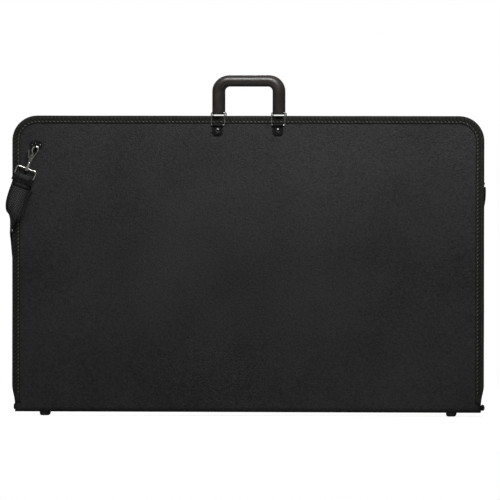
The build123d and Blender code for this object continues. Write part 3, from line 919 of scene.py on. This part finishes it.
def makeHingeStrip(coverName, side):
    h = hingeShape
    low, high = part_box(coverName + "_hinge_strip")
    thick, columns = h["thick"], h["columns"]
    face = inner - h["clear"]
    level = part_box("spine_panel")[1].z + thick / 2 + h["lift"]
    line = [(face - thick / 2, z) for z in h["upright"]]
    line += [(face - inward, z) for inward, z in h["bend"]]
    line += [(face - inward, level) for inward in h["flat"]]
    points, uvs = [], []
    for layer in (-0.5, 0.5):
        for j, (y, z) in enumerate(line):
            before, after = line[max(j - 1, 0)], line[min(j + 1, len(line) - 1)]
            run = Vector((after[0] - before[0], after[1] - before[1])).normalized()
            for i in range(columns + 1):
                x = low.x + (high.x - low.x) * i / columns
                points.append((x, side * (y - run.y * thick * layer), z + run.x * thick * layer))
                uvs.append((x, h["weaveStep"] * j))
    faces = slabFaces(columns, len(line) - 1)
    made = addMesh(coverName + "HingeStrip", points, faces, finish["gusset"], uvs)
    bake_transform(made)
    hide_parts(coverName + "_hinge_strip")


for coverName, side in covers.items():
    makeHingeStrip(coverName, side)


endTab = {"proud": {"Left": 0.0045, "Right": 0.008}, "cadProud": 0.008, "half": 0.0148, "stations": 12,
          "pinch": 0.25, "round": 0.0022, "under": (-0.006, 0.0128),  # out from the case's edge, and height
          "nose": ((-0.0015, 0.0118), (0.0, 0.0150), (-0.0005, 0.0225)),  # out from its far side, and height
          "top": ((0.002, 0.0245), (0.0005, 0.0170), (-0.006, 0.0152))}  # as under


def makeEndTab(label, side):
    t = endTab
    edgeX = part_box("spine_end_tabs")[1].x - t["cadProud"]
    far = edgeX + t["proud"][label]
    corners = [(edgeX + t["under"][0], t["under"][1])] + [(far + x, z) for x, z in t["nose"]]
    corners += [(edgeX + x, z) for x, z in t["top"]]
    section = roundedSection(corners, t["round"], 3)
    points, uvs = [], []
    for s in range(t["stations"] + 1):
        y = -t["half"] + 2 * t["half"] * s / t["stations"]
        pinch = 1 - t["pinch"] * abs(y / t["half"]) ** 4
        for x, z in section:
            points.append((side * (edgeX + (x - edgeX) * pinch), y, z))
            uvs.append((y, x + z))
    tab = addMesh("endTab" + label, points, tubeFaces(t["stations"] + 1, len(section)), finish["tape"], uvs)
    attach(tab, "spine")
    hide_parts("spine_end_tabs")


makeEndTab("Left", -1)
makeEndTab("Right", 1)


pocketShape = {"columns": 60, "rows": 30, "thick": 0.0008, "slack": 0.0011, "wander": 0.0003, "drift": 0.07,
               "hemDrop": 0.009, "hemLift": 0.0002, "seed": 3.0, "hemSeed": 8}
hemSeam = {"Pitch": 0.004, "Length": 0.003, "Width": 0.0006, "Height": 0.0006,
           "Tilt": 0.0, "Unevenness": 0.1}


def makePocket():
    p = pocketShape
    low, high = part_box("inner_pocket")
    columns, rows = p["columns"], p["rows"]
    width, height = high.x - low.x, high.z - low.z
    points, uvs = [], []
    for lift in (0.0, p["thick"]):
        for j in range(rows + 1):
            for i in range(columns + 1):
                u, v = i / columns, j / rows
                x, z = low.x + width * u, low.z + height * v
                slack = sin(pi * u) * v ** 2 * p["slack"]
                slack += ripple(x + v * p["drift"], p["seed"], p["wander"]) * v
                points.append((x, low.y - slack + lift, z))
                uvs.append((x, z))
    pocket = addMesh("innerPocket", points, slabFaces(columns, rows), finish["pocket"], uvs)
    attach(pocket, "back_cover")
    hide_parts("inner_pocket")
    hem = []
    for s in range(columns + 1):
        u = s / columns
        y = low.y - sin(pi * u) * p["slack"] - p["hemLift"]
        hem.append(Vector((low.x + width * u, y, high.z - p["hemDrop"])))
    seam = repeatAlong("pocketHemStitches", hem, hemSeam, finish["lightThread"],
                       "back_cover", p["hemSeed"])


makePocket()
print("soft parts ready")


# Finishes of the hard parts

hardFinish = {
    "spine_panel": "sheet", "spine_board": "board", "spine_feet": "foot", "foot_rivets": "rivet",
    "foot_washers": "steel", "zip_stops": "steel", "strap_slide": "enamel", "zip_slider_left": "enamel",
    "zip_slider_right": "enamel", "zip_pull_left": "enamel", "zip_pull_right": "enamel",
}
coverFinish = {
    "handle_stiffener": "strip", "handle_tabs": "vinyl", "tab_rivets": "rivet", "tab_washers": "steel",
    "strap_anchor": "enamel", "anchor_rivets": "rivet", "ring_left": "ring", "ring_right": "ring",
    "handle": "handle", "hook": "nickel", "hook_gate": "nickel", "gate_pin": "steel", "strap_eye": "nickel",
}
for coverName in covers:
    for part, kind in coverFinish.items():
        hardFinish[coverName + "_" + part] = kind
for name, kind in hardFinish.items():
    mesh = nodes[name].data
    mesh.materials.clear()
    mesh.materials.append(finish[kind])
print("hard parts ready")


# Floor and light

floorShape = {"wide": 2.4, "deep": 1.6, "shade": 0.36, "glow": 0.82}


def makeStage():
    wide, deep, shade = floorShape["wide"], floorShape["deep"], floorShape["shade"]
    mesh = bpy.data.meshes.new("floor")
    corners = [(-wide, -deep, 0), (wide, -deep, 0), (wide, deep, 0), (-wide, deep, 0)]
    mesh.from_pydata(corners, [], [(0, 1, 2, 3)])
    material, tree, shader = startMaterial("paleFloor", {
        "Roughness": 0.7, "Specular IOR Level": 0.1, "Emission Color": (1.0, 1.0, 1.0, 1.0),
        "Base Color": (shade, shade, shade, 1.0)})
    seen = addNode(tree, "ShaderNodeLightPath", out=0)
    tree.links.new(calc(tree, "MULTIPLY", seen, floorShape["glow"]), shader.inputs["Emission Strength"])
    mesh.materials.append(material)
    made = bpy.data.objects.new("floor", mesh)
    scene.collection.objects.link(made)


lights = {
    "keyLight": {"place": (0.13, -0.84, 1.40), "aim": (0.10, 0, 0.46), "size": (0.8, 0.4), "power": 18.5},
    "fillLight": {"place": (-1.8, -2.4, 1.2), "aim": (-0.2, 0, 0.3), "size": (0.8, 0.8), "power": 1.3},
    "rearLight": {"place": (-0.9, 2.4, 1.8), "aim": (0, 0, 0.4), "size": (1.6, 1.2), "power": 44.0},
}


def makeLight(name, light):
    data = bpy.data.lights.new(name, "AREA")
    data.shape = "RECTANGLE"
    data.size, data.size_y = light["size"]
    data.energy = light["power"]
    made = bpy.data.objects.new(name, data)
    made.location = light["place"]
    made.rotation_euler = (Vector(light["aim"]) - made.location).to_track_quat("-Z", "Y").to_euler()
    scene.collection.objects.link(made)


studio = {"seen": 1.0, "low": 0.006, "high": 0.28, "darkBelow": -0.3, "lightAbove": 0.9}


def makeWorld():
    # White behind the case. The surroundings it reflects go from dark below to light above.
    world = bpy.data.worlds.new("studio")
    scene.world = world
    world.use_nodes = True
    tree = world.node_tree
    split = tree.nodes.new("ShaderNodeSeparateXYZ")
    tree.links.new(addNode(tree, "ShaderNodeTexCoord", out=0), split.inputs[0])
    around = spread(tree, split.outputs[2], studio["darkBelow"], studio["lightAbove"],
                    studio["low"], studio["high"])
    seen = addNode(tree, "ShaderNodeLightPath", out=0)
    unseen = calc(tree, "MULTIPLY", calc(tree, "SUBTRACT", 1.0, seen), around)
    strength = calc(tree, "ADD", calc(tree, "MULTIPLY", seen, studio["seen"]), unseen)
    shader = tree.nodes["Background"]
    shader.inputs["Color"].default_value = (1.0, 1.0, 1.0, 1.0)
    tree.links.new(strength, shader.inputs["Strength"])


makeStage()
makeWorld()
for name, light in lights.items():
    makeLight(name, light)
scene.view_settings.view_transform = "Standard"
print("stage ready")
